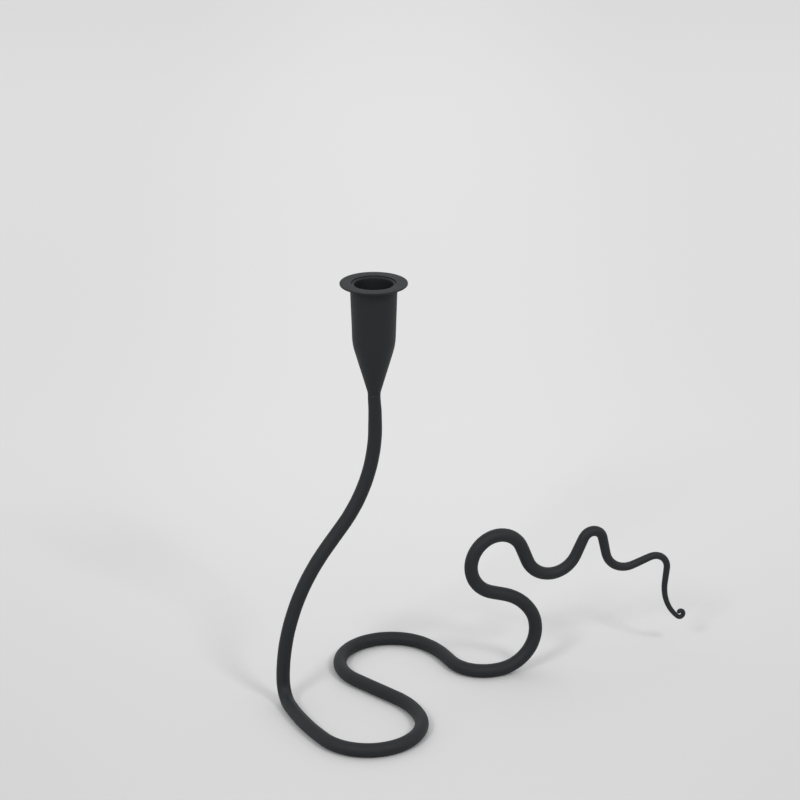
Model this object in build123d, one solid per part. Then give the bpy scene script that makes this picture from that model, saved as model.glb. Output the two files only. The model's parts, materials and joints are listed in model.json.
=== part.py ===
from build123d import *
import os

# Forged candle holder: one tapering round bar, bent into a stem, a foot and a waving tail,
# with a candle cup on the stem and a flat drip ring round the mouth of the cup.
# Millimetres, +Z up, origin on the floor under the middle of the whole holder.
# +X runs towards the tip of the tail, and +Y away from the front bowl of the foot.

# Bar stock, drawn down at both ends
bar_diameter = 8.2
neck_diameter = 7.4
curl_diameter = 2.9
tip_diameter = 2.4

# Stem, from the floor up to the neck under the cup
heel_radius = 11.0
lower_sway_radius = 135.0
upper_sway_radius = 98.0
sway_run = 15.5
stem_run = 8.6
crook_radius = 60.0
neck_run = 2.0
sway_angle = 38.0
crook_angle = 5.2
sway_heading = 19.5

# Foot, bent flat on the floor from the heel to the root of the tail. Each bend turns left by so
# many degrees, or right where negative. Its radius and the straight run after it are shares of
# the radius of the two bowls.
bowl_radius = 31.5
heel_heading = -70.0
foot_bend_shares = [
    (5.40, 16.0, 0.0),
    (1.00, 161.0, 0.0),
    (1.58, 30.5, 1.05),
    (1.01, -177.0, 0.0),
    (1.57, -23.5, 0.32),
    (0.68, 81.0, 0.07),
]

# Tail, in an upright plane: it rises from its root on the floor to its first crest at full
# thickness, then waves on, ever thinner, to the small curl at its tip. The bends are rows as
# above, in shares of the radius on which the tail leaves the floor.
rise_radius = 24.5
rise_bend_shares = [
    (1.00, 123.5, 0.0),
    (1.32, 38.5, 0.35),
    (0.79, -130.0, 0.0),
    (0.65, -100.0, 0.43),
]
wave_bend_shares = [
    (0.70, 133.5, 0.48),
    (0.27, -142.5, 0.47),
    (0.58, 95.0, 0.48),
    (0.37, -113.5, 0.39),
    (1.22, 54.0, 0.0),
]
curl_bend_shares = [
    (0.09, 210.0, 0.0),
    (0.05, 65.0, 0.0),
]

# Candle cup: a straight bore in a tube that narrows a little, closed by a cone
candle_bore = 22.5
mouth_wall = 2.4
shoulder_wall = 1.2
shoulder_round = 35.0
cup_length = 36.8
cone_length = 30.0
lip_round = 0.8

# Joint of cup and bar: a tenon through the tip of the cone, and a weld in a groove round its seat
seat_width = 0.5
weld_groove = 0.8
tenon_length = 9.0
tenon_clearance = 0.1

# Drip ring, seated over a low spigot turned on the mouth of the cup, so that it stands a little
# proud of the mouth, and welded underneath
ring_brim = 5.9
ring_thickness = 1.0
ring_edge_round = 0.3
spigot_wall = 1.6
spigot_height = 0.4
ring_clearance = 0.05
ring_weld_leg = 0.8

# Directions and turns
up = Vector(0, 0, 1)
quarter_turn = 90
half_turn = 180

# Sizes that follow
bar_radius = bar_diameter / 2
neck_radius = neck_diameter / 2
curl_radius = curl_diameter / 2
tip_radius = tip_diameter / 2
bore_radius = candle_bore / 2
mouth_radius = bore_radius + mouth_wall
shoulder_radius = bore_radius + shoulder_wall
spigot_radius = bore_radius + spigot_wall
seat_radius = neck_radius - weld_groove
tenon_radius = seat_radius - seat_width
mouth_height = cone_length + cup_length
ring_seat_height = mouth_height - spigot_height
cone_slope = (shoulder_radius - neck_radius) / cone_length
tube_slope = (mouth_radius - shoulder_radius) / (ring_seat_height - cone_length)


def bent_line(heading, bends):
    """Edges of a line bent in one plane: rows of bend radius, turn in degrees and run after it."""
    edges = []
    point = Vector(0, 0)
    direction = Vector(1, 0).rotate(Axis.Z, heading)
    for radius, turn, run in bends:
        bend = JernArc(point, direction, radius, turn)
        edges.append(bend)
        point = bend @ 1
        direction = bend % 1
        if run:
            straight = Line(point, point + direction * run)
            edges.append(straight)
            point = straight @ 1
    return edges


def scaled(bend_shares, size):
    """Bends in real sizes, from shares of one size."""
    return [(radius * size, turn, run * size) for radius, turn, run in bend_shares]


def upright(origin, heading):
    """Upright plane whose first axis lies along a heading over the floor and whose second is up."""
    along = Vector(1, 0).rotate(Axis.Z, heading)
    return Plane(origin, x_dir=along, z_dir=along.cross(up))


def placed(plane, edges):
    """Edges drawn in a plane's own axes, moved to that plane."""
    return [plane * edge for edge in edges]


def round_section(edge, place, side, radius):
    """Round section of the bar, square to the centreline, with its seam on one side all along."""
    return Plane(edge @ place, x_dir=side, z_dir=edge % place) * Circle(radius)


def turned(*points):
    """Solid turned about the upright axis from the corners of its half section."""
    return revolve(Plane.XZ * make_face(Polyline(*points, close=True)), Axis.Z)


# Centreline of the foot on the floor, starting at the heel
foot_plane = Plane.XY.offset(bar_radius)
foot_line = placed(foot_plane, bent_line(heel_heading, scaled(foot_bend_shares, bowl_radius)))
heel = foot_line[0] @ 0
root = foot_line[-1] @ 1
tail_heading = heel_heading + sum(turn for _, turn, _ in foot_bend_shares)

# Centreline of the stem: up from the heel, swaying out and back to stand upright again, and then
# straight and through a slight crook to the neck
heel_plane = upright(heel, heel_heading + half_turn)
heel_line = placed(heel_plane, bent_line(0, [(heel_radius, quarter_turn, 0)]))
stem_plane = upright(heel_line[-1] @ 1, sway_heading)
sways = [(lower_sway_radius, -sway_angle, sway_run), (upper_sway_radius, sway_angle, 0)]
stem_line = placed(stem_plane, bent_line(quarter_turn, sways))
top_plane = upright(stem_line[-1] @ 1 + up * stem_run, sway_heading)
crook = [(crook_radius, crook_angle, 0), (crook_radius, -crook_angle, 0)]
top_line = [Line(stem_line[-1] @ 1, top_plane.origin)] + placed(top_plane, bent_line(quarter_turn, crook))
neck = top_line[-1] @ 1 + up * neck_run

# Centreline of the tail, from its root to the end of the curl
rise_plane = upright(root, tail_heading)
rise_line = placed(rise_plane, bent_line(0, scaled(rise_bend_shares, rise_radius)))
rise_turn = sum(turn for _, turn, _ in rise_bend_shares)
wave_plane = upright(rise_line[-1] @ 1, tail_heading)
wave_line = placed(wave_plane, bent_line(rise_turn, scaled(wave_bend_shares, rise_radius)))
wave_turn = sum(turn for _, turn, _ in wave_bend_shares)
curl_plane = upright(wave_line[-1] @ 1, tail_heading)
curl_line = placed(curl_plane, bent_line(rise_turn + wave_turn, scaled(curl_bend_shares, rise_radius)))


def tapered(edges, side, first_radius, last_radius):
    """Length of bar along edges, drawn down evenly from one radius to another."""
    whole = sum(edge.length for edge in edges)
    along = 0
    sections = [round_section(edges[0], 0, side, first_radius)]
    for edge in edges:
        along += edge.length
        radius = first_radius + (last_radius - first_radius) * along / whole
        sections.append(round_section(edge, 1, side, radius))
    return sweep(sections, path=Wire(edges), multisection=True)


def make_neck():
    """Top of the bar: the seat of the cup, grooved for the weld, under a tenon."""
    return turned(
        (0, -neck_run),
        (neck_radius, -neck_run),
        (neck_radius, -weld_groove),
        (seat_radius, 0),
        (tenon_radius, 0),
        (tenon_radius, tenon_length),
        (0, tenon_length),
    )


def make_tail():
    """Tapering end of the tail: its waves, and the curl with a rounded tip."""
    waves = tapered(wave_line, wave_plane.z_dir, bar_radius, curl_radius)
    curl = tapered(curl_line, curl_plane.z_dir, curl_radius, tip_radius)
    end = curl_line[-1]
    tip = Plane(end @ 1, z_dir=end % 1) * Sphere(tip_radius, arc_size1=0)
    return waves + curl + tip


def make_bar():
    """The whole bar in one piece, from the tenon on its top end to the tip of the tail."""
    even_section = round_section(stem_line[-1], 1, stem_plane.z_dir, bar_radius)
    even_length = sweep(even_section, path=Wire(stem_line + heel_line + foot_line + rise_line))
    stem_top = tapered(top_line, top_plane.z_dir, bar_radius, neck_radius)
    return even_length + make_tail() + stem_top + Pos(*neck) * make_neck()


def make_cup():
    """Candle cup: bored tube with a spigot at its mouth, and a hollow cone down to the seat."""
    hole_radius = tenon_radius + tenon_clearance
    half_section = make_face(
        Polyline(
            (hole_radius, 0),
            (seat_radius, 0),
            (neck_radius + cone_slope * weld_groove, weld_groove),
            (shoulder_radius, cone_length),
            (mouth_radius, ring_seat_height),
            (spigot_radius, ring_seat_height),
            (spigot_radius, mouth_height),
            (bore_radius, mouth_height),
            (bore_radius, cone_length),
            (hole_radius, tenon_length),
            close=True,
        )
    )
    shoulder = half_section.vertices().sort_by_distance((shoulder_radius, cone_length))[0]
    half_section = fillet(shoulder, shoulder_round)
    lip = half_section.vertices().sort_by_distance((bore_radius, mouth_height))[0]
    half_section = fillet(lip, lip_round)
    spigot_edge = half_section.vertices().sort_by_distance((spigot_radius, mouth_height))[0]
    half_section = fillet(spigot_edge, ring_edge_round)
    return revolve(Plane.XZ * half_section, Axis.Z)


def make_ring():
    """Flat drip ring with rounded edges, standing on the seat round the spigot."""
    on_seat = (Align.CENTER, Align.CENTER, Align.MIN)
    disc = Cylinder(mouth_radius + ring_brim, ring_thickness, align=on_seat)
    hole = Cylinder(spigot_radius + ring_clearance, ring_thickness, align=on_seat)
    ring = disc - hole
    ring = fillet(ring.edges().filter_by(GeomType.CIRCLE), ring_edge_round)
    return Pos(0, 0, ring_seat_height) * ring


def make_neck_weld():
    """Weld metal that fills the groove between the bar and the cone, dressed flush with both."""
    return turned(
        (neck_radius, -weld_groove),
        (neck_radius + cone_slope * weld_groove, weld_groove),
        (seat_radius, 0),
    )


def make_ring_weld():
    """Fillet of weld metal in the corner under the drip ring."""
    return turned(
        (mouth_radius, ring_seat_height),
        (mouth_radius + ring_weld_leg, ring_seat_height),
        (mouth_radius - tube_slope * ring_weld_leg, ring_seat_height - ring_weld_leg),
    )


on_neck = Pos(*neck)
pieces = {
    "bent_bar": make_bar(),
    "candle_cup": on_neck * make_cup(),
    "drip_ring": on_neck * make_ring(),
    "neck_weld": on_neck * make_neck_weld(),
    "ring_weld": on_neck * make_ring_weld(),
}

# Move the origin from under the heel to under the middle of the whole holder
middle = Compound(list(pieces.values())).bounding_box().center()
home = Pos(-middle.X, -middle.Y, 0)

os.makedirs("parts", exist_ok=True)
for name, piece in pieces.items():
    export_step(home * piece, f"parts/{name}.step")
print("candle axis", (home * on_neck).position, "heel", (home * Pos(*heel)).position)
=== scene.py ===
import json
import math
from bisect import bisect_left

import bmesh
import bpy
from mathutils import Matrix, Vector, noise


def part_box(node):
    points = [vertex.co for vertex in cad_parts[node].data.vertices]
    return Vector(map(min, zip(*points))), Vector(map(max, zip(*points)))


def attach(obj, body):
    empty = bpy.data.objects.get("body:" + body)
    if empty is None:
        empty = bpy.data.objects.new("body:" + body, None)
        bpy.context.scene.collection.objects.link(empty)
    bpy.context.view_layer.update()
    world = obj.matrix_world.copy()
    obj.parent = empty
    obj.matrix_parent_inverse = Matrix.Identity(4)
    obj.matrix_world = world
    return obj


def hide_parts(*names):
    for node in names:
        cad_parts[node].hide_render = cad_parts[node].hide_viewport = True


# Forged candle holder in a matte black coat: the bent bar, the candle cup, the drip ring round its
# mouth and the two welds, each made as a mesh in place of its solid. Metres, in the part's frame.
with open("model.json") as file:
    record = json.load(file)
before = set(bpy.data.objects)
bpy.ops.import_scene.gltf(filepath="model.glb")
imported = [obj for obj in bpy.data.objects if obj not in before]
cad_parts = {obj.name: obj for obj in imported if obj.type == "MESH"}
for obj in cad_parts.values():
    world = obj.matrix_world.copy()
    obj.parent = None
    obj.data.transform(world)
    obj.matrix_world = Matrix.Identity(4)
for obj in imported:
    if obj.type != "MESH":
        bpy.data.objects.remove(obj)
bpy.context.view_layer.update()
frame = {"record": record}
mm = 0.001
quarter_turn = 90
half_turn = 180

# Bar stock, drawn down at both ends. The tip is a little fuller than its solid, to close the curl.
bar_radius = 4.1 * mm
neck_radius = 3.7 * mm
curl_radius = 1.45 * mm
tip_radius = 1.38 * mm

# Stem, from the neck under the cup down to the heel
neck_run = 2.0 * mm
crook_radius = 60.0 * mm
crook_angle = 5.2
stem_run = 8.6 * mm
upper_sway_radius = 98.0 * mm
sway_run = 15.5 * mm
lower_sway_radius = 135.0 * mm
sway_angle = 38.0
sway_heading = 19.5
heel_radius = 11.0 * mm
heel_heading = -70.0

# Foot, tail and curl: rows of bend radius, turn in degrees and straight run after it. Radius and
# run are shares of the radius of the bowls, and for tail and curl of that of the tail's rise.
bowl_radius = 31.5 * mm
foot_bends = [
    (5.40, 16.0, 0.0),
    (1.00, 161.0, 0.0),
    (1.58, 30.5, 1.05),
    (1.01, -177.0, 0.0),
    (1.57, -23.5, 0.32),
    (0.68, 81.0, 0.07),
]
rise_radius = 24.5 * mm
rise_bends = [
    (1.00, 123.5, 0.0),
    (1.32, 38.5, 0.35),
    (0.79, -130.0, 0.0),
    (0.65, -100.0, 0.43),
]
wave_bends = [
    (0.70, 133.5, 0.48),
    (0.27, -142.5, 0.47),
    (0.58, 95.0, 0.48),
    (0.37, -113.5, 0.39),
    (1.22, 54.0, 0.0),
]
curl_bends = [
    (0.09, 210.0, 0.0),
    (0.05, 65.0, 0.0),
]

# Candle cup, its joint with the bar, and the drip ring
bore_radius = 11.25 * mm
mouth_radius = 13.65 * mm
shoulder_radius = 12.45 * mm
shoulder_round = 35.0 * mm
cone_length = 30.0 * mm
mouth_height = 66.8 * mm
lip_round = 0.8 * mm
seat_radius = 2.9 * mm
weld_groove = 0.8 * mm
tenon_radius = 2.4 * mm
tenon_length = 9.0 * mm
tip_hole_radius = 2.5 * mm
spigot_radius = 12.85 * mm
spigot_height = 0.4 * mm
ring_hole_radius = 12.9 * mm
ring_radius = 19.55 * mm
ring_thickness = 1.0 * mm
ring_weld_leg = 0.8 * mm
edge_round = 0.3 * mm
fine_round = 0.12 * mm
ring_seat = mouth_height - spigot_height
ring_top = ring_seat + ring_thickness
cone_slope = (shoulder_radius - neck_radius) / cone_length
tube_slope = (mouth_radius - shoulder_radius) / (ring_seat - cone_length)

# Unevenness of hand work: lumps of a size and a height, the bar's height as a share of its radius
bar_lumps = (7 * mm, 0.012)
cup_lumps = (9 * mm, 0.05 * mm)
ring_lumps = (9 * mm, 0.04 * mm)
neck_weld_lumps = (3 * mm, 0.05 * mm)
ring_weld_lumps = (2 * mm, 0.1 * mm)

# Easing of the bar's line from bend to bend: its spread as a share of the bar's radius, and how many
# spreads it takes in to each side
bend_ease = 0.35
ease_reach = 3

# Fineness of the meshes
walk_step = 0.25 * mm
least_spread = 0.1 * walk_step
ring_spacing = 0.25
bar_segments = 40
turned_segments = 160
tip_steps = 5
corner_steps = 4
longest_span = 2.0 * mm

# Matte black coat: tints and roughness in broad patches, over soft dents and fine grain
coat_dark = (0.0089, 0.0111, 0.0138)
coat_light = (0.0114, 0.0136, 0.0163)
coat_smooth = 0.56
coat_rough = 0.65
coat_specular = 0.3
patch_size = 9 * mm
patch_detail = 3
dent_size = 3 * mm
dent_depth = 0.1 * mm
grain_size = 0.5 * mm
grain_depth = 0.1 * mm
fine_detail = 2
noise_span = (0.3, 0.7)

# Pale paper floor with painted light in its colour: its shades from near to far are painted shade in
# front passing to a painted pool of light far behind, how much darker it is at the sides is painted
# shade, and where along Y and away from its middle in X these pass into each other
near_paper_painted_shade = 0.605
mid_paper_painted_light = 0.755
far_paper_painted_light = 0.895
side_paper_painted_shade = 0.945
near_span = (-0.35, 0.45)
far_span = (0.0, 1.6)
side_span = (0.03, 0.32)
paper_middle = -0.05
paper_roughness = 0.9
paper_specular = 0.1
floor_reach = 14.0

# Light from all round, more of it from behind and overhead, and the backdrop that is seen instead
side_level = 0.26
behind_level = 0.28
overhead_level = 0.76
backdrop_level = 0.9

# Soft lamps in front: rows of name, azimuth from the front towards the right, and elevation
lamps = [("right_lamp", 40.5, 45.0), ("left_lamp", -33.0, 37.5)]
lamp_target = Vector((0, 0, 0.1))
lamp_distance = 2.4
lamp_size = 0.48
lamp_power = 14

# Camera at the photograph's place and angle
camera_place = (-52.27 * mm, -1281.82 * mm, 700.77 * mm)
camera_tilt = 21.596
camera_lens = 108
camera_sensor = 36

# Where the bar meets the tip of the cup
up = Vector((0, 0, 1))
bore = next(m for m in frame["record"]["mounts"] if m["name"] == "candle_bore")
neck = Vector((bore["pos_m"][0], bore["pos_m"][1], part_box("bent_bar")[1].z - tenon_length))


class Walk:
    """A pen that walks along a bent line and leaves points on it."""

    def __init__(self, start, direction):
        self.points = [start]
        self.direction = direction
        self.length = 0.0

    def run(self, length):
        """Straight on for a length."""
        steps = max(1, round(length / walk_step))
        start = self.points[-1]
        for i in range(1, steps + 1):
            self.points.append(start + self.direction * length * i / steps)
        self.length += length

    def bend(self, radius, turn, axis):
        """Along an arc of a radius, turning by so many degrees about an axis."""
        angle = math.radians(turn)
        steps = max(2, round(radius * abs(angle) / walk_step))
        centre = self.points[-1] + axis.cross(self.direction) * math.copysign(radius, angle)
        arm = self.points[-1] - centre
        for i in range(1, steps + 1):
            self.points.append(centre + Matrix.Rotation(angle * i / steps, 3, axis) @ arm)
        self.direction = Matrix.Rotation(angle, 3, axis) @ self.direction
        self.length += radius * abs(angle)

    def bends(self, rows, size, axis):
        """Along a table of bends and runs, given as shares of a size."""
        for radius, turn, run in rows:
            self.bend(radius * size, turn, axis)
            if run:
                self.run(run * size)


def across(heading):
    """Level axis about which a line turns up out of the floor, where it runs along a heading."""
    return Vector((math.cos(math.radians(heading)), math.sin(math.radians(heading)), 0)).cross(up)


# Centreline of the bar, from the neck down the stem, round the foot and along the tail
line = Walk(neck, -up)
line.run(neck_run)
line.bend(crook_radius, crook_angle, across(sway_heading))
line.bend(crook_radius, -crook_angle, across(sway_heading))
line.run(stem_run)
top_end = line.length
line.bend(upper_sway_radius, -sway_angle, across(sway_heading))
line.run(sway_run)
line.bend(lower_sway_radius, sway_angle, across(sway_heading))
line.bend(heel_radius, -quarter_turn, across(heel_heading + half_turn))
line.bends(foot_bends, bowl_radius, up)
tail_heading = heel_heading + sum(turn for _, turn, _ in foot_bends)
line.bends(rise_bends, rise_radius, across(tail_heading))
waves_at = line.length
line.bends(wave_bends, rise_radius, across(tail_heading))
curl_at = line.length
line.bends(curl_bends, rise_radius, across(tail_heading))
tip_at = line.length

# Length from the neck to each point of the centreline
stations = [0.0]
for here, there in zip(line.points, line.points[1:]):
    stations.append(stations[-1] + (there - here).length)


def bar_radius_at(along):
    """Radius of the bar at a length from the neck."""
    if along < neck_run:
        return neck_radius
    if along < top_end:
        return neck_radius + (bar_radius - neck_radius) * (along - neck_run) / (top_end - neck_run)
    if along < waves_at:
        return bar_radius
    if along < curl_at:
        return bar_radius - (bar_radius - curl_radius) * (along - waves_at) / (curl_at - waves_at)
    return curl_radius - (curl_radius - tip_radius) * (along - curl_at) / (tip_at - curl_at)


def bar_centre_at(along):
    """Point of the centreline at a length from the neck, eased where one bend passes into the next."""
    room = min(along, stations[-1] - along)
    spread = min(bend_ease * bar_radius_at(along), room / ease_reach)
    first = bisect_left(stations, along - ease_reach * spread)
    last = max(first + 1, bisect_left(stations, along + ease_reach * spread))
    total = 0.0
    centre = Vector((0, 0, 0))
    for station, point in zip(stations[first:last], line.points[first:last]):
        weight = math.exp(-0.5 * ((station - along) / max(spread, least_spread)) ** 2)
        centre += point * weight
        total += weight
    return centre / total


def uneven(point, size, height):
    """Small rise or dip of a hand-worked surface at a point, from lumps of a size."""
    return height * noise.noise(point / size)


def feed(tree, socket, value):
    """Give a node's socket a plain value, or link it to the socket of another node."""
    if isinstance(value, bpy.types.NodeSocket):
        tree.links.new(value, socket)
    else:
        socket.default_value = value


def combined(tree, operation, *values, clamp=False):
    """Result of a sum on one or two numbers."""
    sums = tree.nodes.new("ShaderNodeMath")
    sums.operation = operation
    sums.use_clamp = clamp
    for socket, value in zip(sums.inputs, values):
        feed(tree, socket, value)
    return sums.outputs["Value"]


def mapped(tree, value, span, low, high, passage="LINEAR"):
    """Number that goes from low to high as a value crosses a span."""
    scale = tree.nodes.new("ShaderNodeMapRange")
    scale.interpolation_type = passage
    feed(tree, scale.inputs["Value"], value)
    feed(tree, scale.inputs["From Min"], span[0])
    feed(tree, scale.inputs["From Max"], span[1])
    feed(tree, scale.inputs["To Min"], low)
    feed(tree, scale.inputs["To Max"], high)
    return scale.outputs["Result"]


def black_coat_material():
    """Matte black coat over forged iron: fine grain over broad, soft unevenness."""
    material = bpy.data.materials.new("black_coat")
    material.use_nodes = True
    tree = material.node_tree
    shader = tree.nodes["Principled BSDF"]
    shader.inputs["Specular IOR Level"].default_value = coat_specular
    place = tree.nodes.new("ShaderNodeTexCoord").outputs["Object"]

    def lumps(size, detail):
        """Noise with lumps of a size."""
        texture = tree.nodes.new("ShaderNodeTexNoise")
        texture.inputs["Scale"].default_value = 1 / size
        texture.inputs["Detail"].default_value = detail
        tree.links.new(place, texture.inputs["Vector"])
        return texture.outputs["Fac"]

    def relief(size, depth):
        """Bump from lumps of a size and a depth."""
        bump = tree.nodes.new("ShaderNodeBump")
        bump.inputs["Distance"].default_value = depth
        tree.links.new(lumps(size, fine_detail), bump.inputs["Height"])
        return bump

    patches = lumps(patch_size, patch_detail)
    tints = tree.nodes.new("ShaderNodeValToRGB")
    for stop, at, tint in zip(tints.color_ramp.elements, noise_span, (coat_dark, coat_light)):
        stop.position = at
        stop.color = (*tint, 1)
    tree.links.new(patches, tints.inputs["Fac"])
    tree.links.new(tints.outputs["Color"], shader.inputs["Base Color"])
    roughness = mapped(tree, patches, noise_span, coat_smooth, coat_rough)
    tree.links.new(roughness, shader.inputs["Roughness"])
    dents = relief(dent_size, dent_depth)
    grain = relief(grain_size, grain_depth)
    tree.links.new(dents.outputs["Normal"], grain.inputs["Normal"])
    tree.links.new(grain.outputs["Normal"], shader.inputs["Normal"])
    return material


def painted_light_paper_material():
    """Pale matte paper with painted light: painted shade in front, lightest some way behind the holder
    as a painted pool of light, and a little darker to the sides as painted shade.
    """
    material = bpy.data.materials.new("painted_light_paper")
    material.use_nodes = True
    tree = material.node_tree
    shader = tree.nodes["Principled BSDF"]
    shader.inputs["Roughness"].default_value = paper_roughness
    shader.inputs["Specular IOR Level"].default_value = paper_specular
    place = tree.nodes.new("ShaderNodeSeparateXYZ")
    tree.links.new(tree.nodes.new("ShaderNodeTexCoord").outputs["Object"], place.inputs["Vector"])
    # Painted light in the paper's colour: painted shade in front and to the sides, a painted pool of
    # light far behind.
    near = mapped(tree, place.outputs["Y"], near_span, near_paper_painted_shade / mid_paper_painted_light, 1.0, "SMOOTHSTEP")
    far = mapped(tree, place.outputs["Y"], far_span, mid_paper_painted_light, far_paper_painted_light, "SMOOTHSTEP")
    aside = combined(tree, "ABSOLUTE", combined(tree, "SUBTRACT", place.outputs["X"], paper_middle))
    sides = mapped(tree, aside, side_span, 1.0, side_paper_painted_shade, "SMOOTHSTEP")
    painted_light_tone = combined(tree, "MULTIPLY", combined(tree, "MULTIPLY", near, far), sides)
    tree.links.new(painted_light_tone, shader.inputs["Base Color"])
    return material


def studio_world():
    """Surroundings that give light from overhead and behind, and look plain and pale."""
    world = bpy.data.worlds.new("studio")
    world.use_nodes = True
    tree = world.node_tree
    slant = tree.nodes.new("ShaderNodeVectorMath")
    slant.operation = "DOT_PRODUCT"
    slant.inputs[1].default_value = (0, behind_level, overhead_level)
    tree.links.new(tree.nodes.new("ShaderNodeTexCoord").outputs["Generated"], slant.inputs[0])
    light = combined(tree, "ADD", slant.outputs["Value"], side_level, clamp=True)
    rays = tree.nodes.new("ShaderNodeLightPath").outputs
    seen = rays["Is Camera Ray"]
    for kind in ("Is Glossy Ray", "Is Transmission Ray"):
        seen = combined(tree, "ADD", seen, rays[kind])
    shown = mapped(tree, seen, (0, 1), light, backdrop_level)
    tree.links.new(shown, tree.nodes["Background"].inputs["Color"])
    return world


def add_object(name, data):
    """New object in the scene."""
    added = bpy.data.objects.new(name, data)
    bpy.context.scene.collection.objects.link(added)
    return added


black_coat = black_coat_material()


def new_piece(name, rings, closed, node, poles=()):
    """Mesh piece from rings of points, closed into a loop or ended by poles, in place of a solid."""
    shape = bmesh.new()
    rows = [[shape.verts.new(point) for point in ring] for ring in rings]
    pairs = list(zip(rows, rows[1:]))
    if closed:
        pairs.append((rows[-1], rows[0]))
    for low, high in pairs:
        for i in range(len(low)):
            shape.faces.new((low[i - 1], low[i], high[i], high[i - 1]))
    for row, pole in zip((rows[0], rows[-1]), poles):
        tip = shape.verts.new(pole)
        for i in range(len(row)):
            shape.faces.new((row[i - 1], row[i], tip))
    bmesh.ops.recalc_face_normals(shape, faces=shape.faces)
    mesh = bpy.data.meshes.new(name)
    shape.to_mesh(mesh)
    shape.free()
    mesh.shade_smooth()
    mesh.materials.append(black_coat)
    piece = add_object(name, mesh)
    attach(piece, "root")
    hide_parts(node)


def arms(axis, side):
    """Directions all round the bar, square to its axis, beginning at one side."""
    return [Matrix.Rotation(math.tau * i / bar_segments, 3, axis) @ side for i in range(bar_segments)]


def make_bar():
    """The whole bar: tenon, groove and seat at its top, stem, foot and tail, with a rounded tip."""
    side = Vector((1, 0, 0))
    top_profile = [
        (tenon_length, tenon_radius - edge_round),
        (tenon_length - edge_round, tenon_radius),
        (0, tenon_radius),
        (0, seat_radius),
    ]
    rings = []
    for height, radius in top_profile:
        rings.append([neck + up * height + arm * radius for arm in arms(-up, side)])

    places = []
    along = weld_groove
    while along < tip_at:
        places.append(along)
        along += ring_spacing * bar_radius_at(along)
    centres = [bar_centre_at(place) for place in places]
    end = line.points[-1]
    centres.append(end)
    places.append(tip_at)
    lump_size, lump_share = bar_lumps
    for i, centre in enumerate(centres):
        tangent = (centres[min(i + 1, len(centres) - 1)] - centres[max(i - 1, 0)]).normalized()
        side = (side - tangent * side.dot(tangent)).normalized()
        radius = bar_radius_at(places[i])
        ring = []
        for arm in arms(tangent, side):
            lump = uneven(centre + arm * radius, lump_size, lump_share * radius)
            ring.append(centre + arm * (radius + lump))
        rings.append(ring)

    for k in range(1, tip_steps):
        angle = math.pi / 2 * k / tip_steps
        centre = end + tangent * tip_radius * math.sin(angle)
        rings.append([centre + arm * tip_radius * math.cos(angle) for arm in arms(tangent, side)])
    poles = (neck + up * tenon_length, end + tangent * tip_radius)
    new_piece("forged_bar", rings, False, "bent_bar", poles)


def rounded(corners):
    """Closed outline of radius and height through corners, each rounded by its own radius."""
    points = []
    for i, (radius, height, rounding) in enumerate(corners):
        corner = Vector((radius, height))
        before = (Vector(corners[i - 1][:2]) - corner).normalized()
        after = (Vector(corners[(i + 1) % len(corners)][:2]) - corner).normalized()
        half = before.angle(after) / 2
        centre = corner + (before + after).normalized() * rounding / math.sin(half)
        first = corner + before * rounding / math.tan(half) - centre
        sweep = first.angle_signed(corner + after * rounding / math.tan(half) - centre)
        steps = max(corner_steps, round(abs(sweep) * rounding / longest_span))
        for k in range(steps + 1):
            points.append(centre + Matrix.Rotation(-sweep * k / steps, 2) @ first)
    outline = []
    for here, there in zip(points, points[1:] + points[:1]):
        spans = max(1, math.ceil((there - here).length / longest_span))
        outline += [here.lerp(there, k / spans) for k in range(spans)]
    return outline


def turned(name, node, lumps, corners):
    """Piece turned about the axis of the cup from the rounded corners of its section."""
    rings = []
    for radius, height in rounded(corners):
        ring = []
        for i in range(turned_segments):
            angle = math.tau * i / turned_segments
            arm = Vector((math.cos(angle), math.sin(angle), 0))
            point = neck + arm * radius + up * height
            ring.append(point + arm * uneven(point, *lumps))
        rings.append(ring)
    new_piece(name, rings, True, node)


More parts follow.
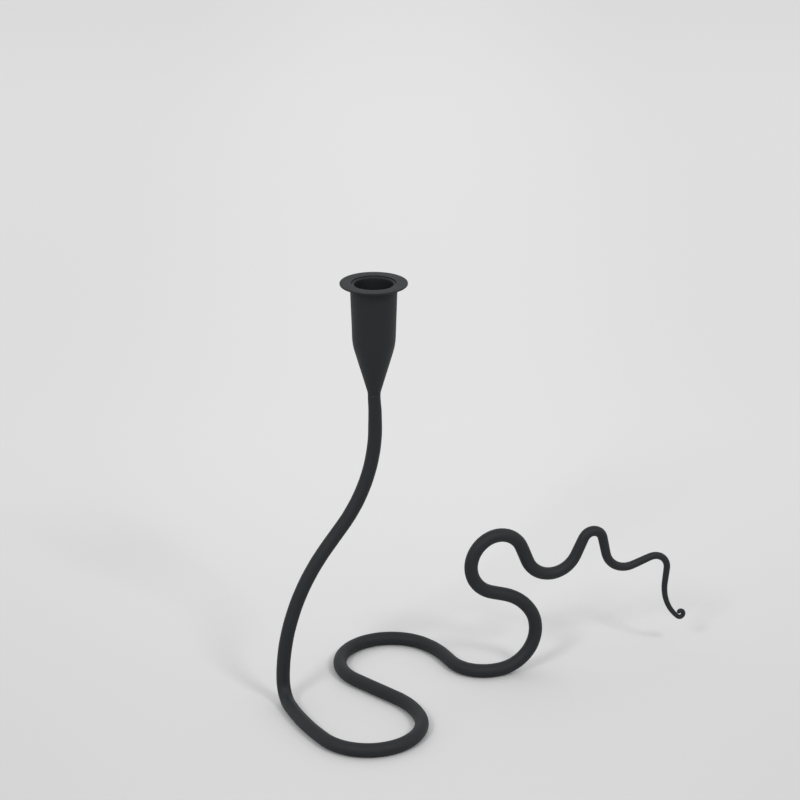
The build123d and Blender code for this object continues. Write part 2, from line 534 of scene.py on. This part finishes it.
# The five pieces of the holder. Corners are rows of radius, height over the neck and rounding.
make_bar()
turned(
    "candle_socket",
    "candle_cup",
    cup_lumps,
    [
        (tip_hole_radius, 0, fine_round),
        (seat_radius, 0, fine_round),
        (neck_radius + cone_slope * weld_groove, weld_groove, fine_round),
        (shoulder_radius, cone_length, shoulder_round),
        (mouth_radius, ring_seat, fine_round),
        (spigot_radius, ring_seat, fine_round),
        (spigot_radius, mouth_height, edge_round),
        (bore_radius, mouth_height, lip_round),
        (bore_radius, cone_length, fine_round),
        (tip_hole_radius, tenon_length, fine_round),
    ],
)
turned(
    "drip_brim",
    "drip_ring",
    ring_lumps,
    [
        (ring_hole_radius, ring_seat, edge_round),
        (ring_radius, ring_seat, edge_round),
        (ring_radius, ring_top, edge_round),
        (ring_hole_radius, ring_top, edge_round),
    ],
)
turned(
    "neck_bead",
    "neck_weld",
    neck_weld_lumps,
    [
        (seat_radius, 0, fine_round),
        (neck_radius, -weld_groove, fine_round),
        (neck_radius + cone_slope * weld_groove, weld_groove, fine_round),
    ],
)
turned(
    "brim_bead",
    "ring_weld",
    ring_weld_lumps,
    [
        (mouth_radius, ring_seat, fine_round),
        (mouth_radius - tube_slope * ring_weld_leg, ring_seat - ring_weld_leg, fine_round),
        (mouth_radius + ring_weld_leg, ring_seat, fine_round),
    ],
)

# Pale seamless floor
floor_mesh = bpy.data.meshes.new("floor")
floor_corners = [(x * floor_reach, y * floor_reach, 0) for x, y in ((-1, -1), (1, -1), (1, 1), (-1, 1))]
floor_mesh.from_pydata(floor_corners, [], [(0, 1, 2, 3)])
floor_mesh.materials.append(painted_light_paper_material())
floor = add_object("floor", floor_mesh)


def soft_lamp(name, azimuth, elevation):
    """Square lamp that looks at the holder: azimuth from the front towards the right, in degrees."""
    light = bpy.data.lights.new(name, "AREA")
    light.size = lamp_size
    light.energy = lamp_power
    swing = math.radians(azimuth)
    rise = math.radians(elevation)
    aim = Vector((math.sin(swing) * math.cos(rise), -math.cos(swing) * math.cos(rise), math.sin(rise)))
    lamp = add_object(name, light)
    lamp.location = lamp_target + aim * lamp_distance
    lamp.rotation_euler = aim.to_track_quat("Z", "Y").to_euler()


# Light, camera and view
bpy.context.scene.world = studio_world()
for name, azimuth, elevation in lamps:
    soft_lamp(name, azimuth, elevation)
camera_data = bpy.data.cameras.new("camera")
camera_data.lens = camera_lens
camera_data.sensor_width = camera_sensor
camera = add_object("camera", camera_data)
camera.location = camera_place
camera.rotation_euler = (math.radians(quarter_turn - camera_tilt), 0, 0)
bpy.context.scene.camera = camera
bpy.context.scene.view_settings.view_transform = "Standard"
